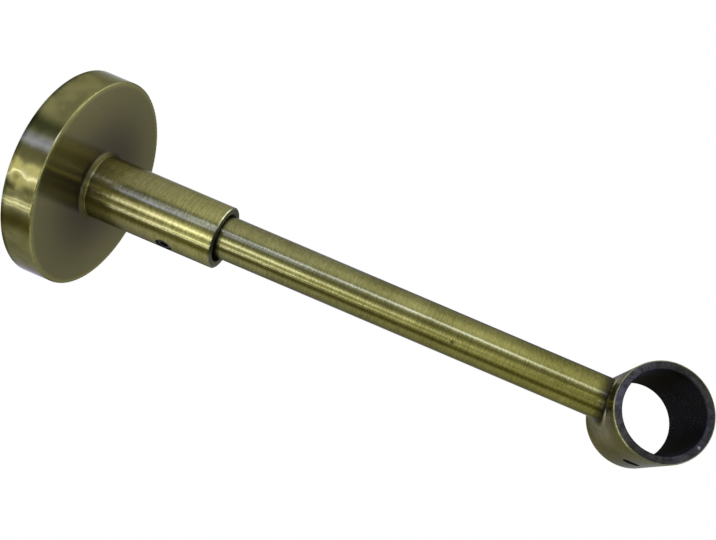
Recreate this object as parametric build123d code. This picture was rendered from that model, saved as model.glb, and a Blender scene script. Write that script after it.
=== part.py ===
# Telescopic curtain pole bracket: a wall base with a sleeve, and an arm that slides in it.
# The wall is the plane y = 0, the arm points along -Y, the pole runs along X and +Z is up.
# The origin is where the sleeve's axis meets the wall.
from build123d import *
import os

# Arm tube
arm_radius = 5.5
arm_wall = 1.2
arm_insertion = 23.0            # length inside the sleeve at rest
arm_end_chamfer = 0.4
arm_clearance = 0.5             # all round, when the arm is central in its sleeve
arm_seat_gap = 0.08             # left across from the screw, which presses the arm over

# Pole ring
pole_radius = 9.5
pole_clearance = 0.5
pole_reach = 153.0              # wall to pole axis at rest
ring_wall = 2.1
ring_width = 23.5
ring_edge_chamfer = 0.2
ring_bore_chamfer = 0.2
braze_gap = 0.05                # between the coped arm end and the ring

# Wall base: rose and sleeve in one casting, cored out at the back
rose_radius = 26.2
rose_depth = 7.2
rose_face_wall = 2.5
rose_rim_wall = 2.5
rose_front_round = 0.4
rose_back_chamfer = 0.15
recess_chamfer = 0.8
sleeve_wall = 2.0
sleeve_length = 33.2            # rose face to sleeve mouth
sleeve_root_round = 1.2
sleeve_mouth_chamfer = 0.15
sleeve_bore_chamfer = 0.2
wall_thread_radius = 2.5        # tapping size of an M6 hanger bolt
wall_thread_length = 8.0

# Grub screws, M4
screw_hole_radius = 2.0
screw_length = 2.5
screw_chamfer = 0.3
screw_socket_flats = 2.0
screw_socket_depth = 1.2
screw_thread_gap = 0.03
screw_tip_gap = 0.08            # between the screw's point and the arm
screw_from_mouth = 12.0
screw_turn = 10.0               # round the sleeve from straight down, towards -X
screw_countersink = 0.15

# Travel of the arm in the sleeve
arm_floor_gap = 0.4             # arm end to bore floor, arm pushed right in
arm_past_screw = 0.5            # arm left beyond the screw, arm pulled right out

# Sizes and places that follow
sleeve_bore_radius = arm_radius + arm_clearance
sleeve_radius = sleeve_bore_radius + sleeve_wall
mouth_y = -(rose_depth + sleeve_length)
recess_depth = rose_depth - rose_face_wall
recess_radius = rose_radius - rose_rim_wall
arm_rise = arm_clearance - arm_seat_gap
arm_seat = Vector(0, 0, arm_rise).rotate(Axis.Y, screw_turn)
arm_inner_y = mouth_y + arm_insertion
ring_bore_radius = pole_radius + pole_clearance
ring_radius = ring_bore_radius + ring_wall
ring_centre = arm_seat - Vector(0, pole_reach, 0)
screw_radius = screw_hole_radius - screw_thread_gap
screw_y = mouth_y + screw_from_mouth
in_sleeve_screw_line = Rot(0, screw_turn, 0) * Pos(0, screw_y, 0)
screw_tip_z = arm_rise - arm_radius - screw_tip_gap
travel_in = -wall_thread_length - arm_floor_gap - arm_inner_y
travel_out = arm_inner_y - (screw_y + screw_radius + arm_past_screw)


def turned(corners, rounds=(), chamfers=()):
    """Turn an outline of (radius, y) corners about the Y axis, some of them eased."""
    with BuildPart() as piece:
        with BuildSketch() as outline:
            with BuildLine():
                Polyline(*corners, close=True)
            make_face()
            for corner, radius in rounds:
                fillet(outline.vertices().sort_by_distance(Vector(*corner))[0], radius)
            for corner, length in chamfers:
                chamfer(outline.vertices().sort_by_distance(Vector(*corner))[0], length)
        revolve(axis=Axis.Y)
    return piece.part


def screw_hole(surface_z, wall):
    """The cutter for a tapped hole up into a tube whose lowest line is at surface_z."""
    reach = 2 * wall
    drill = Pos(0, 0, surface_z) * Cylinder(screw_hole_radius, 2 * reach)
    flare = Cone(
        screw_hole_radius + screw_countersink + reach,
        screw_hole_radius,
        screw_countersink + reach,
        align=(Align.CENTER, Align.CENTER, Align.MAX),
    )
    return drill + Pos(0, 0, surface_z + screw_countersink) * flare


def make_wall_base():
    thread_start = (wall_thread_radius, 0)
    boss_foot = (sleeve_radius, 0)
    boss_root = (sleeve_radius, -recess_depth)
    recess_corner = (recess_radius, -recess_depth)
    rim_inside = (recess_radius, 0)
    rim_back = (rose_radius, 0)
    rim_front = (rose_radius, -rose_depth)
    sleeve_root = (sleeve_radius, -rose_depth)
    mouth_outside = (sleeve_radius, mouth_y)
    mouth_inside = (sleeve_bore_radius, mouth_y)
    bore_floor = (sleeve_bore_radius, -wall_thread_length)
    thread_end = (wall_thread_radius, -wall_thread_length)
    body = turned(
        [
            thread_start, boss_foot, boss_root, recess_corner, rim_inside, rim_back,
            rim_front, sleeve_root, mouth_outside, mouth_inside, bore_floor, thread_end,
        ],
        rounds=[(rim_front, rose_front_round), (sleeve_root, sleeve_root_round)],
        chamfers=[
            (boss_root, recess_chamfer),
            (recess_corner, recess_chamfer),
            (rim_back, rose_back_chamfer),
            (mouth_outside, sleeve_mouth_chamfer),
            (mouth_inside, sleeve_bore_chamfer),
        ],
    )
    return body - in_sleeve_screw_line * screw_hole(-sleeve_radius, sleeve_wall)


def make_sleeve_grub_screw():
    with BuildPart() as screw:
        Cylinder(screw_radius, screw_length, align=(Align.CENTER, Align.CENTER, Align.MAX))
        chamfer(screw.edges().filter_by(GeomType.CIRCLE), screw_chamfer)
        with BuildSketch(Plane.XY.offset(-screw_length)):
            RegularPolygon(screw_socket_flats / 2, 6, major_radius=False)
        extrude(amount=screw_socket_depth, mode=Mode.SUBTRACT)
    return in_sleeve_screw_line * Pos(0, 0, screw_tip_z) * screw.part


def make_arm_tube():
    inside = arm_radius - arm_wall
    coped_y = -pole_reach
    tube = turned(
        [(inside, arm_inner_y), (arm_radius, arm_inner_y), (arm_radius, coped_y), (inside, coped_y)],
        chamfers=[((arm_radius, arm_inner_y), arm_end_chamfer)],
    )
    cope = Cylinder(ring_radius + braze_gap, 2 * ring_width, rotation=(0, 90, 0))
    return Pos(*arm_seat) * tube - Pos(*ring_centre) * cope


def make_pole_ring():
    half = ring_width / 2
    outside = [(ring_radius, half), (ring_radius, -half)]
    bore = [(ring_bore_radius, -half), (ring_bore_radius, half)]
    band = turned(
        outside + bore,
        chamfers=[(corner, ring_edge_chamfer) for corner in outside]
        + [(corner, ring_bore_chamfer) for corner in bore],
    )
    hole = screw_hole(-ring_radius, ring_wall)
    return Pos(*ring_centre) * (Rot(0, 0, 90) * band - hole)


pieces = {
    "wall_base": make_wall_base(),
    "sleeve_grub_screw": make_sleeve_grub_screw(),
    "arm_tube": make_arm_tube(),
    "pole_ring": make_pole_ring(),
}

os.makedirs("parts", exist_ok=True)
for name, piece in pieces.items():
    export_step(piece, "parts/" + name + ".step")

print("sleeve radius", sleeve_radius, "bore", sleeve_bore_radius, "mouth y", mouth_y)
print("ring radius", ring_radius, "bore", ring_bore_radius, "centre", tuple(ring_centre))
print("arm inner end y", arm_inner_y, "travel in", travel_in, "travel out", travel_out)
print("sleeve screw y", screw_y, "tip z", screw_tip_z, "head z", screw_tip_z - screw_length)
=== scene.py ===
import math

import bpy
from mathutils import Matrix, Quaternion, Vector


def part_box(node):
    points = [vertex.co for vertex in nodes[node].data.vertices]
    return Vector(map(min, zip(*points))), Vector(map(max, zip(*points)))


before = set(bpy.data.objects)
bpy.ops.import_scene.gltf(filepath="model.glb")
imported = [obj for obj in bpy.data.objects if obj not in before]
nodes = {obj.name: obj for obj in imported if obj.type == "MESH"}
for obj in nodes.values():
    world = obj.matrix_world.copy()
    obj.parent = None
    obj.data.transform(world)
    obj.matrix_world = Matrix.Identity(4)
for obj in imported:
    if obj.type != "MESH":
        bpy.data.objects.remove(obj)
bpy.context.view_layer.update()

# A telescopic curtain pole bracket in brushed antique brass.
# The wall is the plane y = 0, the arm points along -Y, the pole runs along X and +Z is up.

mm = 0.001
print("loaded:", ", ".join(sorted(nodes)))


# helpers: most of them add one node to a tree and give its output
def feed(tree, socket, value):
    # an output is linked to the socket, and a plain value is set on it
    if isinstance(value, bpy.types.NodeSocket):
        tree.links.new(value, socket)
    else:
        socket.default_value = value


def calc(tree, operation, *values):
    node = tree.nodes.new("ShaderNodeMath")
    node.operation = operation
    for socket, value in zip(node.inputs, values):
        feed(tree, socket, value)
    return node.outputs[0]


def vectorCalc(tree, operation, *values):
    node = tree.nodes.new("ShaderNodeVectorMath")
    node.operation = operation
    for socket, value in zip(node.inputs, values):
        feed(tree, socket, value)
    return node.outputs["Value" if operation in ("LENGTH", "DOT_PRODUCT") else "Vector"]


def split(tree, vector):
    node = tree.nodes.new("ShaderNodeSeparateXYZ")
    feed(tree, node.inputs[0], vector)
    return node.outputs["X"], node.outputs["Y"], node.outputs["Z"]


def combine(tree, x, y, z):
    node = tree.nodes.new("ShaderNodeCombineXYZ")
    for socket, value in zip(node.inputs, (x, y, z)):
        feed(tree, socket, value)
    return node.outputs[0]


def ramp(tree, value, low, high, toLow=0.0, toHigh=1.0):
    # a soft step from toLow to toHigh, as the value goes from low to high
    node = tree.nodes.new("ShaderNodeMapRange")
    node.interpolation_type = "SMOOTHSTEP"
    levels = {"Value": value, "From Min": low, "From Max": high, "To Min": toLow, "To Max": toHigh}
    for name, level in levels.items():
        feed(tree, node.inputs[name], level)
    return node.outputs["Result"]


def rise(tree, value, edge, span):
    # 0 before the edge and 1 past it; the span says where the step starts and ends, from the edge
    start, end = span
    return ramp(tree, value, edge + start, edge + end)


def fall(tree, value, edge, span):
    # 1 before the edge and 0 past it
    start, end = span
    return ramp(tree, value, edge + start, edge + end, 1.0, 0.0)


def overlap(tree, first, *others):
    # the place that all of the masks show
    for other in others:
        first = calc(tree, "MULTIPLY", first, other)
    return first


def blendColour(tree, factor, first, second, how="MIX"):
    node = tree.nodes.new("ShaderNodeMix")
    node.data_type = "RGBA"
    node.blend_type = how
    for name, item in (("Factor_Float", factor), ("A_Color", first), ("B_Color", second)):
        slot = next(socket for socket in node.inputs if socket.identifier == name)
        if isinstance(item, tuple):
            item = (*item, 1.0)
        feed(tree, slot, item)
    return next(socket for socket in node.outputs if socket.identifier == "Result_Color")


def noise(tree, vector, scale, detail=3.0, rough=0.55):
    node = tree.nodes.new("ShaderNodeTexNoise")
    feed(tree, node.inputs["Vector"], vector)
    node.inputs["Scale"].default_value = scale
    node.inputs["Detail"].default_value = detail
    node.inputs["Roughness"].default_value = rough
    return node.outputs["Fac"]


def mottle(tree, vector, scale, detail, dark, light, rough=0.55):
    # noise between a dark and a light level
    return ramp(tree, noise(tree, vector, scale, detail, rough), 0.3, 0.7, dark, light)


def objectPlace(tree):
    return tree.nodes.new("ShaderNodeTexCoord").outputs["Object"]


def newGroup(name, inputs, outputs):
    # inputs: {name: (socket kind, start value)}, outputs: {name: socket kind}
    group = bpy.data.node_groups.new(name, "ShaderNodeTree")
    for label, (kind, start) in inputs.items():
        socket = group.interface.new_socket(label, in_out="INPUT", socket_type="NodeSocket" + kind)
        if start is not None:
            socket.default_value = start
    for label, kind in outputs.items():
        group.interface.new_socket(label, in_out="OUTPUT", socket_type="NodeSocket" + kind)
    return group, group.nodes.new("NodeGroupInput").outputs, group.nodes.new("NodeGroupOutput").inputs


def useGroup(tree, group, values):
    node = tree.nodes.new("ShaderNodeGroup")
    node.node_tree = group
    for name, value in values.items():
        feed(tree, node.inputs[name], value)
    return node.outputs


# shared effects, each a node group
def makeTurnedPlace():
    # where a point lies on a turned piece whose axis is Y
    group, given, out = newGroup(
        "Turned place", {"Position": ("Vector", None)}, {"Radius": "Float", "Along": "Float"}
    )
    x, y, z = split(group, given["Position"])
    feed(group, out["Radius"], vectorCalc(group, "LENGTH", combine(group, x, 0.0, z)))
    feed(group, out["Along"], y)
    return group


# how each kind of grain differs: its share of the lines and of the run, and its detail
grainKinds = {"Fine": (1.0, 1.0, 2.0), "Speckle": (0.8, 14.0, 2.0), "Coarse": (0.25, 2.0, 3.0)}


def makeBrushedGrain():
    # fine lines round the axis, left by the brushing wheel, and short broken scratches in them
    group, given, out = newGroup(
        "Brushed grain",
        {"Position": ("Vector", None), "Lines": ("Float", 3000.0), "Run": ("Float", 60.0)},
        {kind: "Float" for kind in grainKinds},
    )
    x, y, z = split(group, given["Position"])
    radius = vectorCalc(group, "LENGTH", combine(group, x, 0.0, z))
    depth = calc(group, "ADD", y, radius)     # changes along a tube and outwards on a flat face
    for kind, (lineShare, runShare, detail) in grainKinds.items():
        run = calc(group, "MULTIPLY", given["Run"], runShare)
        across = calc(group, "MULTIPLY", depth, calc(group, "MULTIPLY", given["Lines"], lineShare))
        stretchedX = calc(group, "MULTIPLY", x, run)
        stretchedZ = calc(group, "MULTIPLY", z, run)
        lines = noise(group, combine(group, stretchedX, across, stretchedZ), 1.0, detail, 0.6)
        feed(group, out[kind], lines)
    return group


def makePatina():
    # cloudy darker patches in the lacquered brass
    group, given, out = newGroup(
        "Patina",
        {"Position": ("Vector", None), "Scale": ("Float", 90.0), "Amount": ("Float", 0.5)},
        {"Mask": "Float"},
    )
    node = group.nodes.new("ShaderNodeTexNoise")
    node.inputs["Detail"].default_value = 4.0
    feed(group, node.inputs["Vector"], given["Position"])
    feed(group, node.inputs["Scale"], given["Scale"])
    cloud = ramp(group, node.outputs["Fac"], 0.33, 0.68)
    feed(group, out["Mask"], calc(group, "MULTIPLY", cloud, given["Amount"]))
    return group


def makeEdgeBand():
    # a soft broken band round one turned edge, given by its radius and its place along the axis
    group, given, out = newGroup(
        "Edge band",
        {
            "Radius": ("Float", 0.0), "Along": ("Float", 0.0), "Edge Radius": ("Float", 0.0),
            "Edge Along": ("Float", 0.0), "Width": ("Float", 0.001), "Breakup": ("Float", 0.5),
        },
        {"Mask": "Float"},
    )
    outwards = calc(group, "SUBTRACT", given["Radius"], given["Edge Radius"])
    onwards = calc(group, "SUBTRACT", given["Along"], given["Edge Along"])
    away = vectorCalc(group, "LENGTH", combine(group, outwards, onwards, 0.0))
    near = fall(group, calc(group, "DIVIDE", away, given["Width"]), 0.0, (0.3, 1.0))
    broken = ramp(group, given["Breakup"], 0.3, 0.6, 0.6, 1.0)
    feed(group, out["Mask"], overlap(group, near, broken))
    return group


def makeDrilledHole():
    # the wall of a hole drilled from outside towards the axis
    group, given, out = newGroup(
        "Drilled hole",
        {
            "Position": ("Vector", None), "Start": ("Vector", None), "Direction": ("Vector", None),
            "Hole Radius": ("Float", 0.002), "Soft": ("Float", 0.0001),
        },
        {"Mask": "Float"},
    )
    fromStart = vectorCalc(group, "SUBTRACT", given["Position"], given["Start"])
    depth = vectorCalc(group, "DOT_PRODUCT", fromStart, given["Direction"])
    off = vectorCalc(group, "LENGTH", vectorCalc(group, "CROSS_PRODUCT", fromStart, given["Direction"]))
    outside = calc(group, "DIVIDE", calc(group, "SUBTRACT", off, given["Hole Radius"]), given["Soft"])
    inHole = fall(group, outside, 0.0, (0.0, 1.0))
    feed(group, out["Mask"], overlap(group, inHole, rise(group, depth, 0.0, (0.0, 0.1 * mm))))
    return group


turnedPlace = makeTurnedPlace()
brushedGrain = makeBrushedGrain()
patina = makePatina()
edgeBand = makeEdgeBand()
drilledHole = makeDrilledHole()
print("shared effects made")


# the finish that all three brass pieces share
brassFinish = {
    "lines": 3800.0, "run": 65.0,     # grain lines per metre, and how short each one is
    "grainShares": {"Fine": 0.35, "Speckle": 0.57, "Coarse": 0.08}, "grainTone": 0.6,
    "grainSpan": (0.34, 0.66), "grainTurn": 0.25,     # a quarter turn sets the gloss round the axis
    "cloudScale": 85.0, "cloudAmount": 0.4,
    "lightTint": (1.25, 1.24, 1.3), "darkTint": (0.6, 0.58, 0.5),
    "worn": (0.27, 0.27, 0.10),
    "roughness": 0.13, "roughnessSpread": 0.06, "anisotropy": 0.95, "edgeTint": (0.54, 0.54, 0.50),
    "fineHeight": 0.008 * mm, "speckleHeight": 0.022 * mm, "smoothShare": 0.15,
    "waveScale": 120.0, "waveHeight": 0.03 * mm,
    "blackRough": 0.5, "holeRadius": 2.0 * mm, "holeLip": 0.02 * mm, "holeSoft": 0.1 * mm,
}


def startBrass(name, look):
    # a new brass material, as the parts that its piece then paints on
    material = bpy.data.materials.new(name)
    material.use_nodes = True
    tree = material.node_tree
    local = vectorCalc(tree, "SUBTRACT", objectPlace(tree), look["centre"])
    if look["axis"] == "X":     # turned, so that the piece's own axis is Y here as well
        x, y, z = split(tree, local)
        local = combine(tree, calc(tree, "MULTIPLY", y, -1.0), x, z)
    spot = useGroup(tree, turnedPlace, {"Position": local})
    grain = useGroup(tree, brushedGrain, {"Position": local, "Lines": look["lines"], "Run": look["run"]})
    cloud = useGroup(
        tree, patina, {"Position": local, "Scale": look["cloudScale"], "Amount": look["cloudAmount"]}
    )["Mask"]
    fine, speckle, coarse = (
        calc(tree, "MULTIPLY", grain[kind], share) for kind, share in look["grainShares"].items()
    )
    worked = calc(tree, "ADD", calc(tree, "ADD", fine, speckle), coarse)
    tone = calc(tree, "ADD", cloud, ramp(tree, worked, *look["grainSpan"], look["grainTone"], 0.0))
    tint = blendColour(tree, tone, look["lightTint"], look["darkTint"])
    farShare = ramp(tree, spot["Along"], look["nearAt"], look["farAt"])
    colour = blendColour(tree, farShare, look["near"], look["far"])
    rough = calc(tree, "ADD", look["roughness"], calc(tree, "MULTIPLY", worked, look["roughnessSpread"]))
    return {
        "material": material, "tree": tree, "local": local, "spot": spot, "grain": grain, "tint": tint,
        "colour": blendColour(tree, 1.0, colour, tint, "MULTIPLY"), "rough": rough,
    }


def paint(parts, mask, colour, rough=None, tinted=True):
    # lays a colour over what the mask shows, with the grain and patina in it unless it isn't tinted
    tree = parts["tree"]
    if tinted:
        colour = blendColour(tree, 1.0, colour, parts["tint"], "MULTIPLY")
    parts["colour"] = blendColour(tree, mask, parts["colour"], colour)
    if rough is not None:
        change = calc(tree, "MULTIPLY", calc(tree, "SUBTRACT", rough, parts["rough"]), mask)
        parts["rough"] = calc(tree, "ADD", parts["rough"], change)


def bandMask(parts, radius, along, width, breakup):
    return useGroup(parts["tree"], edgeBand, {
        "Radius": parts["spot"]["Radius"], "Along": parts["spot"]["Along"],
        "Edge Radius": radius, "Edge Along": along, "Width": width, "Breakup": parts["grain"][breakup],
    })["Mask"]


def paintEdges(parts, look):
    # bare brass on the edges that hands and tools rub
    for radius, along, width in look["edges"]:
        paint(parts, bandMask(parts, radius, along, width, "Coarse"), look["worn"])


def paintHole(parts, look, start, direction):
    # the wall of a tapped hole, with a narrow lip round it, near-black as painted shade
    hole = useGroup(parts["tree"], drilledHole, {
        "Position": parts["local"], "Start": start, "Direction": direction,
        "Hole Radius": look["holeRadius"] + look["holeLip"], "Soft": look["holeSoft"],
    })["Mask"]
    paint(parts, hole, look["black"], look["blackRough"])


def paintByJoint(parts, away, band, *masks):
    # a band along the brazed joint, which fades with the distance from it: the dark joint and seam, and
    # on the ring also a painted reflection and painted shade
    tree = parts["tree"]
    near = ramp(tree, away, *band["span"], band["strength"], 0.0)
    paint(parts, overlap(tree, near, *masks), band["colour"], band["rough"])


def onRound(angle, along, radius):
    # a point on a round surface, with the angle in degrees
    turn = math.radians(angle)
    return (radius * math.cos(turn), along, radius * math.sin(turn))


def paintMark(parts, mark):
    # one small mark that the photo shows
    tree = parts["tree"]
    middle = onRound(mark["angle"], mark["along"], mark["radius"])
    away = vectorCalc(tree, "LENGTH", vectorCalc(tree, "SUBTRACT", parts["local"], middle))
    paint(parts, fall(tree, away, 0.0, (0.0, mark["reach"])), mark["colour"], mark["rough"], False)


def finishBrass(parts, look, smooth=None, shape=None):
    # the shader; smooth is a mask of where the grain lies flat, shape a height of the piece's own
    tree = parts["tree"]
    shader = tree.nodes["Principled BSDF"]
    tree.links.new(parts["colour"], shader.inputs["Base Color"])
    tree.links.new(parts["rough"], shader.inputs["Roughness"])
    shader.inputs["Metallic"].default_value = 1.0
    shader.inputs["Anisotropic"].default_value = look["anisotropy"]
    shader.inputs["Anisotropic Rotation"].default_value = look["grainTurn"]
    shader.inputs["Specular Tint"].default_value = (*look["edgeTint"], 1.0)
    tangent = tree.nodes.new("ShaderNodeTangent")
    tangent.direction_type = "RADIAL"
    tangent.axis = look["axis"]
    tree.links.new(tangent.outputs[0], shader.inputs["Tangent"])
    height = calc(tree, "MULTIPLY", parts["grain"]["Fine"], look["fineHeight"])
    height = calc(tree, "MULTIPLY_ADD", parts["grain"]["Speckle"], look["speckleHeight"], height)
    if smooth is not None:
        height = calc(tree, "MULTIPLY", height, ramp(tree, smooth, 0.0, 1.0, 1.0, look["smoothShare"]))
    waves = noise(tree, parts["local"], look["waveScale"], 1.0)
    height = calc(tree, "MULTIPLY_ADD", waves, look["waveHeight"], height)
    if shape is not None:
        height = calc(tree, "ADD", height, shape)
    bump = tree.nodes.new("ShaderNodeBump")
    bump.inputs["Strength"].default_value = 1.0
    bump.inputs["Distance"].default_value = 1.0
    tree.links.new(height, bump.inputs["Height"])
    tree.links.new(bump.outputs[0], shader.inputs["Normal"])
    return parts["material"]


def setMaterial(node, material):
    nodes[node].data.materials.clear()
    nodes[node].data.materials.append(material)
    print(material.name, "on", node)


# sizes of the solids, which the colours follow
baseLow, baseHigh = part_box("wall_base")
screwLow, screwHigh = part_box("sleeve_grub_screw")
armLow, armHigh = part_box("arm_tube")
ringLow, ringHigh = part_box("pole_ring")
screwMiddle = (screwLow + screwHigh) / 2
armMiddle = (armLow + armHigh) / 2
ringMiddle = (ringLow + ringHigh) / 2
roseRadius = baseHigh.x
roseDepth = 7.2 * mm
sleeveRadius = 8.0 * mm
mouthAlong = baseLow.y
armRadius = (armHigh.x - armLow.x) / 2
ringRadius = (ringHigh.z - ringLow.z) / 2
ringHalf = (ringHigh.x - ringLow.x) / 2

# wall base: the rose and its sleeve
# a span says where a colour starts and ends, measured from its edge
baseLook = {
    **brassFinish,
    "axis": "Y", "centre": (0.0, 0.0, 0.0),
    "near": (0.172, 0.162, 0.066), "nearAt": -16.0 * mm,
    "far": (0.255, 0.250, 0.088), "farAt": -44.0 * mm,
    "rimWall": 2.5 * mm, "faceWall": 2.5 * mm, "sleeveWall": 2.0 * mm,
    "boreFloor": 8.0 * mm, "rootRound": 1.2 * mm,
    "frontSpan": (0.02 * mm, 0.1 * mm), "discSpan": (0.3 * mm, 1.2 * mm),
    # root: a painted reflection, lighter towards the rose; fillet: painted shade in the corner, and
    # rougher
    "root": (0.340, 0.325, 0.120), "rootSpan": (-12.0 * mm, -2.0 * mm),
    "fillet": (0.088, 0.084, 0.024), "filletRough": 0.42, "filletSpan": (0.0, 0.5 * mm),
    "rim": (0.158, 0.149, 0.061), "rimRough": 0.12, "rimSpan": (0.3 * mm, 0.6 * mm),
    "rimCloud": {"scale": 210.0, "detail": 5.0, "dark": 0.76, "light": 1.20},
    "rimBack": (0.040, 0.044, 0.016), "rimBackSpan": (-1.3 * mm, -0.3 * mm),
    "face": ((0.071, 0.061, 0.037), (0.162, 0.149, 0.064)),     # by the sleeve, darker as painted shade, and by the rim
    "faceRough": 0.22, "faceSpan": (0.4 * mm, 0.9 * mm),
    "faceCloud": {"scale": 1400.0, "detail": 3.0, "dark": 0.95, "light": 1.05},
    "faceRim": (0.235, 0.230, 0.080), "faceRimSpan": (-1.6 * mm, -0.3 * mm),
    "worn": (0.225, 0.220, 0.075),
    "edges": [     # radius, place along the axis, width
        (roseRadius - 0.12 * mm, -roseDepth + 0.12 * mm, 0.42 * mm),
        (sleeveRadius, mouthAlong, 0.5 * mm),
    ],
    "mouth": (0.110, 0.114, 0.052), "mouthRough": 0.3,
    "mouthSpan": (0.05 * mm, 0.1 * mm), "mouthRimSpan": (-0.5 * mm, -0.25 * mm),
    "mouthEdge": (0.26, 0.27, 0.17), "mouthEdgeInset": 0.1 * mm, "mouthEdgeWidth": 0.45 * mm,
    # a painted highlight on one side of the mouth, and painted shade on the other
    "mouthHighlight": (0.50, 0.52, 0.25), "mouthHighlightAngle": 165.0,
    "mouthShade": (0.020, 0.022, 0.010), "mouthShadeAngle": 208.0, "mouthSideSpan": (0.76, 0.97),
    # black: near-black painted shade in the bore and the screw's hole
    "black": (0.008, 0.008, 0.007), "boreSpan": (0.2 * mm, 0.45 * mm), "floorSpan": (0.0, 0.1 * mm),
    "cored": (0.110, 0.104, 0.060), "coredRough": 0.45,
    "coredRimSpan": (-0.1 * mm, 0.0), "coredSpan": (-0.3 * mm, -0.1 * mm),
    "crinkle": {
        "angle": 203.5, "reach": 1.5 * mm,
        "steps": [     # start, peak and end along the axis, and how much the skin leans
            (2.0 * mm, 0.2 * mm, -1.9 * mm, 0.060), (-0.2 * mm, -2.5 * mm, -3.9 * mm, -0.068),
            (-3.5 * mm, -4.6 * mm, -6.2 * mm, 0.020),
        ],
    },
}


def paintRoot(parts, look, inFront):
    # the sleeve's root, with a painted reflection making it lighter towards the rose, and the dull
    # fillet, darker as painted shade in the corner
    tree, along = parts["tree"], parts["spot"]["Along"]
    paint(parts, overlap(tree, inFront, rise(tree, along, -roseDepth, look["rootSpan"])), look["root"])
    onFillet = rise(tree, along, -roseDepth - look["rootRound"], look["filletSpan"])
    paint(parts, overlap(tree, inFront, onFillet), look["fillet"], look["filletRough"])


def paintRim(parts, look):
    # the rose's rim, cloudy, with darker patches towards the wall
    tree, along = parts["tree"], parts["spot"]["Along"]
    onRim = rise(tree, along, -roseDepth, look["rimSpan"])
    cloud = mottle(tree, parts["local"], **look["rimCloud"])
    paint(parts, onRim, blendColour(tree, 1.0, look["rim"], cloud, "MULTIPLY"), look["rimRough"], False)
    patches = ramp(tree, cloud, 0.9, 1.1, 0.85, 0.45)
    onBack = overlap(tree, onRim, overlap(tree, rise(tree, along, 0.0, look["rimBackSpan"]), patches))
    paint(parts, onBack, look["rimBack"], None, False)


def paintFace(parts, look, inFront):
    # the rose's face, darker round the sleeve as painted shade, and brighter along the rim
    tree, radius = parts["tree"], parts["spot"]["Radius"]
    onFace = overlap(tree, inFront, rise(tree, radius, sleeveRadius, look["faceSpan"]))
    face = blendColour(tree, ramp(tree, radius, sleeveRadius, roseRadius), *look["face"])
    cloud = mottle(tree, parts["local"], **look["faceCloud"])
    paint(parts, onFace, blendColour(tree, 1.0, face, cloud, "MULTIPLY"), look["faceRough"], False)
    byRim = rise(tree, radius, roseRadius, look["faceRimSpan"])
    paint(parts, overlap(tree, inFront, byRim), look["faceRim"], None, False)


def mouthSide(parts, look, angle):
    # the side of the mouth round one angle
    tree = parts["tree"]
    towards = onRound(angle, 0.0, 1.0 / sleeveRadius)
    return ramp(tree, vectorCalc(tree, "DOT_PRODUCT", parts["local"], towards), *look["mouthSideSpan"])


def paintMouth(parts, look):
    # the sleeve's flat end and its outer edge, with a painted highlight on one side and painted shade on
    # the other
    tree = parts["tree"]
    onEnd = overlap(
        tree,
        fall(tree, parts["spot"]["Along"], mouthAlong, look["mouthSpan"]),
        fall(tree, parts["spot"]["Radius"], sleeveRadius, look["mouthRimSpan"]),
    )
    paint(parts, onEnd, look["mouth"], look["mouthRough"])
    edgeRadius = sleeveRadius - look["mouthEdgeInset"]
    onEdge = bandMask(parts, edgeRadius, mouthAlong, look["mouthEdgeWidth"], "Speckle")
    paint(parts, onEdge, look["mouthEdge"])
    highlightSide = mouthSide(parts, look, look["mouthHighlightAngle"])
    shadeSide = mouthSide(parts, look, look["mouthShadeAngle"])
    paint(parts, overlap(tree, onEdge, highlightSide), look["mouthHighlight"])
    paint(parts, overlap(tree, onEdge, shadeSide), look["mouthShade"])
    paint(parts, overlap(tree, onEnd, shadeSide), look["mouthShade"])


def paintInside(parts, look):
    # the bore, near-black as painted shade, the dull cored back and the screw's hole
    tree, radius, along = parts["tree"], parts["spot"]["Radius"], parts["spot"]["Along"]
    inBore = overlap(
        tree,
        fall(tree, radius, sleeveRadius - look["sleeveWall"], look["boreSpan"]),
        fall(tree, along, -look["boreFloor"], look["floorSpan"]),
    )
    paint(parts, inBore, look["black"], look["blackRough"])
    inBack = overlap(
        tree,
        fall(tree, radius, roseRadius - look["rimWall"], look["coredRimSpan"]),
        rise(tree, along, look["faceWall"] - roseDepth, look["coredSpan"]),
    )
    paint(parts, inBack, look["cored"], look["coredRough"])
    towardsScrew = Vector((screwMiddle.x, 0.0, screwMiddle.z)).normalized()
    paintHole(parts, look, (0.0, screwMiddle.y, 0.0), tuple(towardsScrew))


def crinkle(parts, look):
    # the rim's skin bent round its axis in short steps along it, which shifts the reflections there
    tree = parts["tree"]
    x, y, z = split(tree, parts["local"])
    turn = math.radians(look["angle"])
    fromZ = calc(tree, "MULTIPLY", z, math.cos(turn))
    fromX = calc(tree, "MULTIPLY", x, math.sin(turn))
    across = calc(tree, "SUBTRACT", fromZ, fromX)
    spread = calc(tree, "DIVIDE", across, look["reach"])
    lift = calc(tree, "DIVIDE", across, calc(tree, "MULTIPLY_ADD", spread, spread, 1.0))
    slope = 0.0
    for start, peak, end, lean in look["steps"]:
        slope = calc(tree, "MULTIPLY_ADD", ramp(tree, y, start, peak), lean, slope)
        slope = calc(tree, "MULTIPLY_ADD", ramp(tree, y, peak, end), -lean, slope)
    oneSide = ramp(tree, x, 0.0, -roseRadius / 2)
    return overlap(tree, calc(tree, "MULTIPLY", lift, slope), oneSide)


def baseMaterial(look):
    parts = startBrass("base brass", look)
    tree, radius, along = parts["tree"], parts["spot"]["Radius"], parts["spot"]["Along"]
    inFront = fall(tree, along, -roseDepth, look["frontSpan"])
    paintRoot(parts, look, inFront)
    paintRim(parts, look)
    paintFace(parts, look, inFront)
    paintEdges(parts, look)
    paintMouth(parts, look)
    paintInside(parts, look)
    onDisc = rise(tree, radius, sleeveRadius, look["discSpan"])
    return finishBrass(parts, look, onDisc, crinkle(parts, look["crinkle"]))


setMaterial("wall_base", baseMaterial(baseLook))

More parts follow.
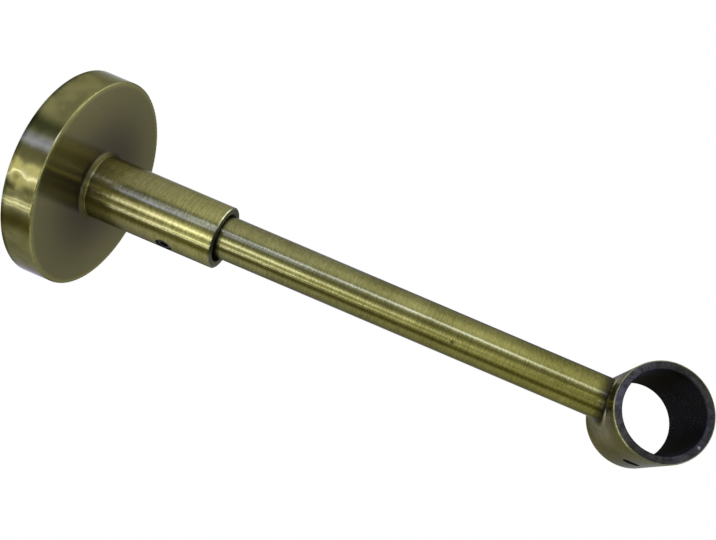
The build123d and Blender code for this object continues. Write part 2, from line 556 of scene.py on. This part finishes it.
# arm tube
armLook = {
    **brassFinish,
    "axis": "Y", "centre": (armMiddle.x, 0.0, armMiddle.z),
    "near": (0.190, 0.187, 0.074), "nearAt": -30.0 * mm,
    "far": (0.182, 0.175, 0.045), "farAt": -135.0 * mm,
    # black: near-black painted shade inside the tube
    "black": (0.014, 0.013, 0.012), "insideSpan": (-0.3 * mm, -0.2 * mm),
    # how far the dark joint, brazing discolouration with painted shadow in it, reaches along the arm:
    # below and above its axis
    "jointReach": (3.0 * mm, 3.8 * mm), "jointHeights": (-3.0 * mm, 3.0 * mm),
    "joint": {"colour": (0.030, 0.028, 0.014), "span": (0.1, 1.0), "strength": 0.92, "rough": 0.3},
    "seam": {
        "colour": (0.034, 0.031, 0.017), "span": (0.1 * mm, 0.45 * mm), "strength": 0.8, "rough": 0.4,
    },
    "flareReach": 2.2 * mm, "flareHeight": 0.22 * mm,
    "edges": [(armRadius, armHigh.y, 0.8 * mm)],
    "mark": {
        "angle": 213.0, "along": -101.8 * mm, "radius": armRadius, "reach": 1.0 * mm,
        "colour": (0.045, 0.044, 0.010), "rough": 0.4,
    },
}


def ringDistance(tree):
    # how far a point of the arm lies outside the ring's round surface
    x, y, z = split(tree, vectorCalc(tree, "SUBTRACT", objectPlace(tree), tuple(ringMiddle)))
    return calc(tree, "SUBTRACT", vectorCalc(tree, "LENGTH", combine(tree, 0.0, y, z)), ringRadius)


def armMaterial(look):
    parts = startBrass("arm brass", look)
    tree = parts["tree"]
    paintEdges(parts, look)
    away = ringDistance(tree)
    x, y, z = split(tree, parts["local"])
    reach = ramp(tree, z, *look["jointHeights"], *look["jointReach"])
    # partly brazing discolouration, partly painted shadow by the joint
    paintByJoint(parts, calc(tree, "DIVIDE", away, reach), look["joint"])
    paintByJoint(parts, away, look["seam"])
    paintMark(parts, look["mark"])
    # painted shade: the tube's inside near-black
    inside = fall(tree, parts["spot"]["Radius"], armRadius, look["insideSpan"])
    paint(parts, inside, look["black"], look["blackRough"])
    flare = ramp(tree, away, 0.0, look["flareReach"], look["flareHeight"], 0.0)
    return finishBrass(parts, look, shape=flare)


setMaterial("arm_tube", armMaterial(armLook))

# pole ring
ringLook = {
    **brassFinish,
    "axis": "X", "centre": tuple(ringMiddle),
    "near": (0.192, 0.177, 0.096), "nearAt": -ringHalf,
    "far": (0.192, 0.177, 0.096), "farAt": ringHalf,
    # black: near-black painted shade in the bore and the screw's hole
    "wall": 2.1 * mm, "black": (0.015, 0.0145, 0.018), "boreRough": 0.4,
    "boreSpan": (0.15 * mm, 0.3 * mm),
    # the end faces: away from the arm, and towards it, lighter there as painted light
    "endFace": (0.026, 0.025, 0.017), "endFaceLit": (0.044, 0.042, 0.032), "endRough": 0.45,
    "endLitSpan": (-12.0 * mm, -4.0 * mm),
    "endSpan": (-0.1 * mm, -0.05 * mm), "endRimSpan": (-0.3 * mm, -0.15 * mm),
    "endCloud": {"scale": 900.0, "detail": 4.0, "dark": 0.55, "light": 1.45, "rough": 0.65},
    "edgeHighlight": (0.262, 0.255, 0.086), "edgeHighlightSpan": (-2.0 * mm, 0.0),
    "armSideSpan": (4.0 * mm, 6.0 * mm), "lowSideSpan": (-4.0 * mm, -1.0 * mm),
    # joint: a painted reflection, the ring lighter beside the arm; shade: painted shade under the arm
    "joint": {
        "colour": (0.360, 0.338, 0.210), "span": (2.0 * mm, 6.5 * mm), "strength": 1.0, "rough": None,
    },
    "shade": {
        "colour": (0.050, 0.048, 0.024), "span": (0.2 * mm, 2.0 * mm), "strength": 0.9, "rough": None,
    },
    "seam": {"colour": (0.030, 0.026, 0.018), "span": (0.0, 0.3 * mm), "strength": 0.7, "rough": 0.4},
    "flareReach": 2.2 * mm, "flareHeight": 0.45 * mm,
    "edges": [(ringRadius, ringHalf, 0.3 * mm), (ringRadius, -ringHalf, 0.3 * mm)],
    "worn": (0.165, 0.165, 0.100), "edgeTint": (0.42, 0.42, 0.33),
    "nick": {
        "angle": -24.5, "along": -ringHalf, "radius": 11.0 * mm, "reach": 0.6 * mm,
        "colour": (0.17, 0.17, 0.15), "rough": 0.4,
    },
}


def armDistance(tree, look):
    # how far a point of the ring lies from the arm's round surface, and masks of the ring's
    # side towards the arm and of its lower side
    axisPoint = (armMiddle.x, ringMiddle.y, armMiddle.z)
    x, y, z = split(tree, vectorCalc(tree, "SUBTRACT", objectPlace(tree), axisPoint))
    away = calc(tree, "SUBTRACT", vectorCalc(tree, "LENGTH", combine(tree, x, 0.0, z)), armRadius)
    return away, rise(tree, y, 0.0, look["armSideSpan"]), fall(tree, z, 0.0, look["lowSideSpan"])


def paintEnds(parts, look, fromMiddle):
    # the sawn end faces, mottled, and lighter towards the arm as painted light
    tree = parts["tree"]
    x, y, z = split(tree, parts["local"])
    towardsArm = fall(tree, x, 0.0, look["endLitSpan"])
    colour = blendColour(tree, towardsArm, look["endFace"], look["endFaceLit"])
    colour = blendColour(tree, 1.0, colour, mottle(tree, parts["local"], **look["endCloud"]), "MULTIPLY")
    onEnd = overlap(
        tree,
        rise(tree, fromMiddle, ringHalf, look["endSpan"]),
        fall(tree, parts["spot"]["Radius"], ringRadius, look["endRimSpan"]),
    )
    paint(parts, onEnd, colour, look["endRough"], False)


def ringMaterial(look):
    parts = startBrass("ring brass", look)
    tree = parts["tree"]
    fromMiddle = calc(tree, "ABSOLUTE", parts["spot"]["Along"])
    # painted highlight along both ends of the ring
    paint(parts, rise(tree, fromMiddle, ringHalf, look["edgeHighlightSpan"]), look["edgeHighlight"])
    away, armSide, lowSide = armDistance(tree, look)
    # painted reflection: the ring lighter beside the arm, then painted shade under it
    paintByJoint(parts, away, look["joint"], armSide)
    paintByJoint(parts, away, look["shade"], armSide, lowSide)
    paintByJoint(parts, away, look["seam"], armSide)
    paintEdges(parts, look)
    paintEnds(parts, look, fromMiddle)
    paintMark(parts, look["nick"])
    # painted shade: the bore near-black
    inBore = fall(tree, parts["spot"]["Radius"], ringRadius - look["wall"], look["boreSpan"])
    paint(parts, inBore, look["black"], look["boreRough"])
    paintHole(parts, look, (0.0, 0.0, 0.0), (0.0, 0.0, -1.0))
    flare = ramp(tree, away, 0.0, look["flareReach"], look["flareHeight"], 0.0)
    return finishBrass(parts, look, shape=overlap(tree, flare, armSide))


setMaterial("pole_ring", ringMaterial(ringLook))

# grub screw
screwLook = {
    "dark": (0.006, 0.006, 0.006), "light": (0.016, 0.015, 0.014),
    "roughness": (0.45, 0.65), "speck": 2500.0,
}


def screwMaterial(look):
    material = bpy.data.materials.new("black oxide steel")
    material.use_nodes = True
    tree = material.node_tree
    shader = tree.nodes["Principled BSDF"]
    speck = noise(tree, objectPlace(tree), look["speck"])
    colour = blendColour(tree, ramp(tree, speck, 0.4, 0.7), look["dark"], look["light"])
    tree.links.new(colour, shader.inputs["Base Color"])
    tree.links.new(ramp(tree, speck, 0.3, 0.7, *look["roughness"]), shader.inputs["Roughness"])
    shader.inputs["Metallic"].default_value = 1.0
    return material


setMaterial("sleeve_grub_screw", screwMaterial(screwLook))

# studio: soft panels laid over each other in this order, on an even level
# each has its colour, the azimuth of its middle round the arm (0 = +X, 90 = up, 180 = -X), how
# the middle leans and bends as the tilt grows, its half width, its soft edge, the tilts towards
# the wall where it starts and ends, and how softly it does; all angles are in degrees
studio = {
    "level": (1.0, 1.0, 1.0),
    "panels": {
        "far side, low": ((0.65, 0.65, 0.82), -15.0, 0.0, 0.0, 38.0, 30.0, -90.0, 90.0, 5.0),
        "far side, low, by the wall": ((1.05, 1.05, 1.40), -15.0, 0.0, 0.0, 34.0, 26.0, 26.5, 90.0, 1.5),
        "far side, high": ((0.80, 0.81, 1.20), 47.0, -0.5, 1.7, 45.0, 28.0, -90.0, 17.0, 10.0),
        "far side, outward": ((0.30, 0.30, 0.42), 28.0, 0.0, 0.0, 17.0, 10.0, -17.0, 5.0, 4.0),
        "far side, under the sleeve": ((0.20, 0.20, 0.16), -8.0, 0.0, 0.0, 10.0, 6.0, 14.0, 26.0, 2.0),
        "high, outward": ((2.50, 2.52, 3.20), 86.0, 0.0, 0.0, 30.0, 14.0, -60.0, -18.0, 3.0),
        "low, outward": ((0.12, 0.10, 0.06), -137.0, 0.0, 0.0, 11.0, 6.0, -60.0, -18.0, 3.0),
        "strip, outward": ((4.20, 4.20, 4.20), -160.0, 0.0, 0.0, 6.0, 5.0, -60.0, -18.0, 3.0),
        "upper glow": ((1.75, 1.78, 2.10), 136.5, -0.3, 1.9, 22.0, 22.0, -60.0, 12.0, 6.0),
        "upper gap": ((0.19, 0.23, 0.15), 165.0, 0.4, -2.0, 9.5, 8.5, 13.0, 90.0, 2.0),
        "low dark gap": ((0.30, 0.275, 0.13), -99.0, 0.2, -0.2, 11.5, 10.5, -90.0, 90.0, 5.0),
        "camera gap": ((0.56, 0.56, 0.50), -169.5, 0.0, -0.3, 10.5, 6.0, -90.0, 90.0, 5.0),
        "front strip, wide": ((3.10, 3.05, 2.60), -138.0, 0.0, -0.6, 16.0, 2.4, 15.0, 90.0, 29.0),
        "front strip": ((4.90, 4.95, 7.20), -141.8, -0.4, 0.8, 4.4, 3.0, 4.5, 26.0, 4.0),
        "strip gap": ((0.20, 0.19, 0.11), -132.0, 0.0, 0.0, 5.0, 4.0, 17.0, 32.0, 4.0),
        "low strip": ((6.20, 6.30, 8.00), -126.0, 0.38, 0.0, 1.7, 1.0, 5.5, 26.5, 2.5),
        "low strip, second": ((5.50, 5.60, 8.00), -110.5, 0.0, -0.2, 2.0, 1.2, 16.0, 25.0, 3.0),
        "cool strip, near the wall": ((2.20, 2.45, 7.40), 182.0, 0.25, -1.4, 4.2, 2.6, 17.5, 26.5, 2.0),
        "cool patch on the rim": ((1.65, 1.80, 4.20), 175.5, 0.0, 0.0, 5.5, 4.5, 26.5, 90.0, 1.5),
        "cool strip": ((4.60, 4.95, 11.80), 164.6, 0.1, 2.5, 4.2, 4.2, -90.0, 14.8, 3.0),
        "rim line": ((7.00, 6.90, 8.20), -146.0, 0.0, 0.0, 1.7, 1.3, 26.5, 62.0, 1.5),
        "rim lines, low": ((6.40, 6.40, 7.60), -115.5, 0.0, 0.0, 4.4, 0.8, 26.5, 62.0, 1.5),
        "rim gap": ((0.60, 0.55, 0.30), -117.6, 0.0, 0.0, 0.8, 0.5, 26.5, 62.0, 1.5),
        "rim gap, low": ((0.60, 0.55, 0.30), -113.2, 0.0, 0.0, 0.8, 0.5, 26.5, 62.0, 1.5),
    },
}


def panelMask(tree, azimuth, tilt, tiltSquare, panel):
    # where one panel lies in the surroundings
    place, lean, bend, half, edge, low, high, tiltEdge = panel
    middle = calc(tree, "MULTIPLY_ADD", tilt, lean, place)
    middle = calc(tree, "MULTIPLY_ADD", tiltSquare, bend, middle)
    off = calc(tree, "WRAP", calc(tree, "SUBTRACT", azimuth, middle), 180.0, -180.0)
    return overlap(
        tree,
        fall(tree, calc(tree, "ABSOLUTE", off), half, (-edge, edge)),
        rise(tree, tilt, low, (-tiltEdge, tiltEdge)),
        fall(tree, tilt, high, (-tiltEdge, tiltEdge)),
    )


def makeWorld():
    # what the brass reflects; the camera itself sees plain white
    world = bpy.data.worlds.new("studio")
    bpy.context.scene.world = world
    world.use_nodes = True
    tree = world.node_tree
    background = tree.nodes["Background"]
    direction = tree.nodes.new("ShaderNodeTexCoord").outputs["Generated"]
    x, y, z = split(tree, vectorCalc(tree, "NORMALIZE", direction))
    azimuth = calc(tree, "DEGREES", calc(tree, "ARCTAN2", z, x))
    tilt = calc(tree, "DEGREES", calc(tree, "ARCSINE", y))
    # the bend goes with the square of the tilt, in tens of degrees
    tiltSquare = calc(tree, "MULTIPLY", calc(tree, "MULTIPLY", tilt, tilt), 0.01)
    colour = studio["level"]
    for tint, *panel in studio["panels"].values():
        colour = blendColour(tree, panelMask(tree, azimuth, tilt, tiltSquare, panel), colour, tint)
    seen = tree.nodes.new("ShaderNodeLightPath").outputs["Is Camera Ray"]
    tree.links.new(blendColour(tree, seen, colour, studio["level"]), background.inputs["Color"])
    background.inputs["Strength"].default_value = 1.0


# floor: pale, well below the bracket, and fading out round it
floorSet = {
    "drop": 0.22, "half": 3.0, "colour": (0.93, 0.92, 0.82), "roughness": 0.9,
    "middle": (0.0, -0.08), "fade": (0.25, 0.60),
}


def makeFloor():
    half, z = floorSet["half"], -floorSet["drop"]
    corners = [(-half, -half, z), (half, -half, z), (half, half, z), (-half, half, z)]
    mesh = bpy.data.meshes.new("floor")
    mesh.from_pydata(corners, [], [(0, 1, 2, 3)])
    floor = bpy.data.objects.new("floor", mesh)
    bpy.context.scene.collection.objects.link(floor)
    material = bpy.data.materials.new("pale floor")
    material.use_nodes = True
    tree = material.node_tree
    shader = tree.nodes["Principled BSDF"]
    shader.inputs["Base Color"].default_value = (*floorSet["colour"], 1.0)
    shader.inputs["Roughness"].default_value = floorSet["roughness"]
    shader.inputs["Specular IOR Level"].default_value = 0.0
    middle = (*floorSet["middle"], z)
    away = vectorCalc(tree, "LENGTH", vectorCalc(tree, "SUBTRACT", objectPlace(tree), middle))
    backfacing = tree.nodes.new("ShaderNodeNewGeometry").outputs["Backfacing"]
    fromAbove = calc(tree, "SUBTRACT", 1.0, backfacing)     # seen from below, there is no floor
    alpha = overlap(tree, ramp(tree, away, *floorSet["fade"], 1.0, 0.0), fromAbove)
    tree.links.new(alpha, shader.inputs["Alpha"])
    mesh.materials.append(material)
    floor.visible_glossy = False     # the brass reflects the studio panels below the floor as well
    floor.visible_shadow = False


lampSet = {"place": (-0.25, -0.25, 0.75), "aim": (0.0, -0.08, 0.0), "side": 0.5, "power": 0.5}


def makeLamp():
    data = bpy.data.lights.new("overhead softbox", "AREA")
    data.size = lampSet["side"]
    data.energy = lampSet["power"]
    lamp = bpy.data.objects.new("overhead softbox", data)
    lamp.location = lampSet["place"]
    back = Vector(lampSet["place"]) - Vector(lampSet["aim"])
    lamp.rotation_euler = back.to_track_quat("Z", "Y").to_euler()
    lamp.visible_camera = False
    lamp.visible_glossy = False
    bpy.context.scene.collection.objects.link(lamp)


# camera: the photograph's own view, with its direction and roll in degrees
cameraSet = {
    "place": (-0.18364, -0.09806, -0.04172),
    "azimuth": -89.471, "elevation": -13.026, "roll": 23.223,
    "lens": 38.618, "sensor": 36.0, "shiftX": -0.1073, "shiftY": 0.0766, "clip": (0.005, 50.0),
}


def makeCamera():
    azimuth = math.radians(cameraSet["azimuth"])
    elevation = math.radians(cameraSet["elevation"])
    level = math.cos(elevation)
    back = Vector((math.sin(azimuth) * level, -math.cos(azimuth) * level, math.sin(elevation)))
    data = bpy.data.cameras.new("camera")
    data.sensor_width = cameraSet["sensor"]
    data.lens = cameraSet["lens"]
    data.shift_x = cameraSet["shiftX"]
    data.shift_y = cameraSet["shiftY"]
    data.clip_start, data.clip_end = cameraSet["clip"]
    camera = bpy.data.objects.new("camera", data)
    camera.location = cameraSet["place"]
    camera.rotation_mode = "QUATERNION"
    roll = Quaternion((0.0, 0.0, 1.0), math.radians(cameraSet["roll"]))
    camera.rotation_quaternion = (-back).to_track_quat("-Z", "Y") @ roll
    bpy.context.scene.collection.objects.link(camera)
    bpy.context.scene.camera = camera


makeWorld()
makeFloor()
makeLamp()
makeCamera()
bpy.context.scene.view_settings.view_transform = "Standard"
print("studio and camera set")
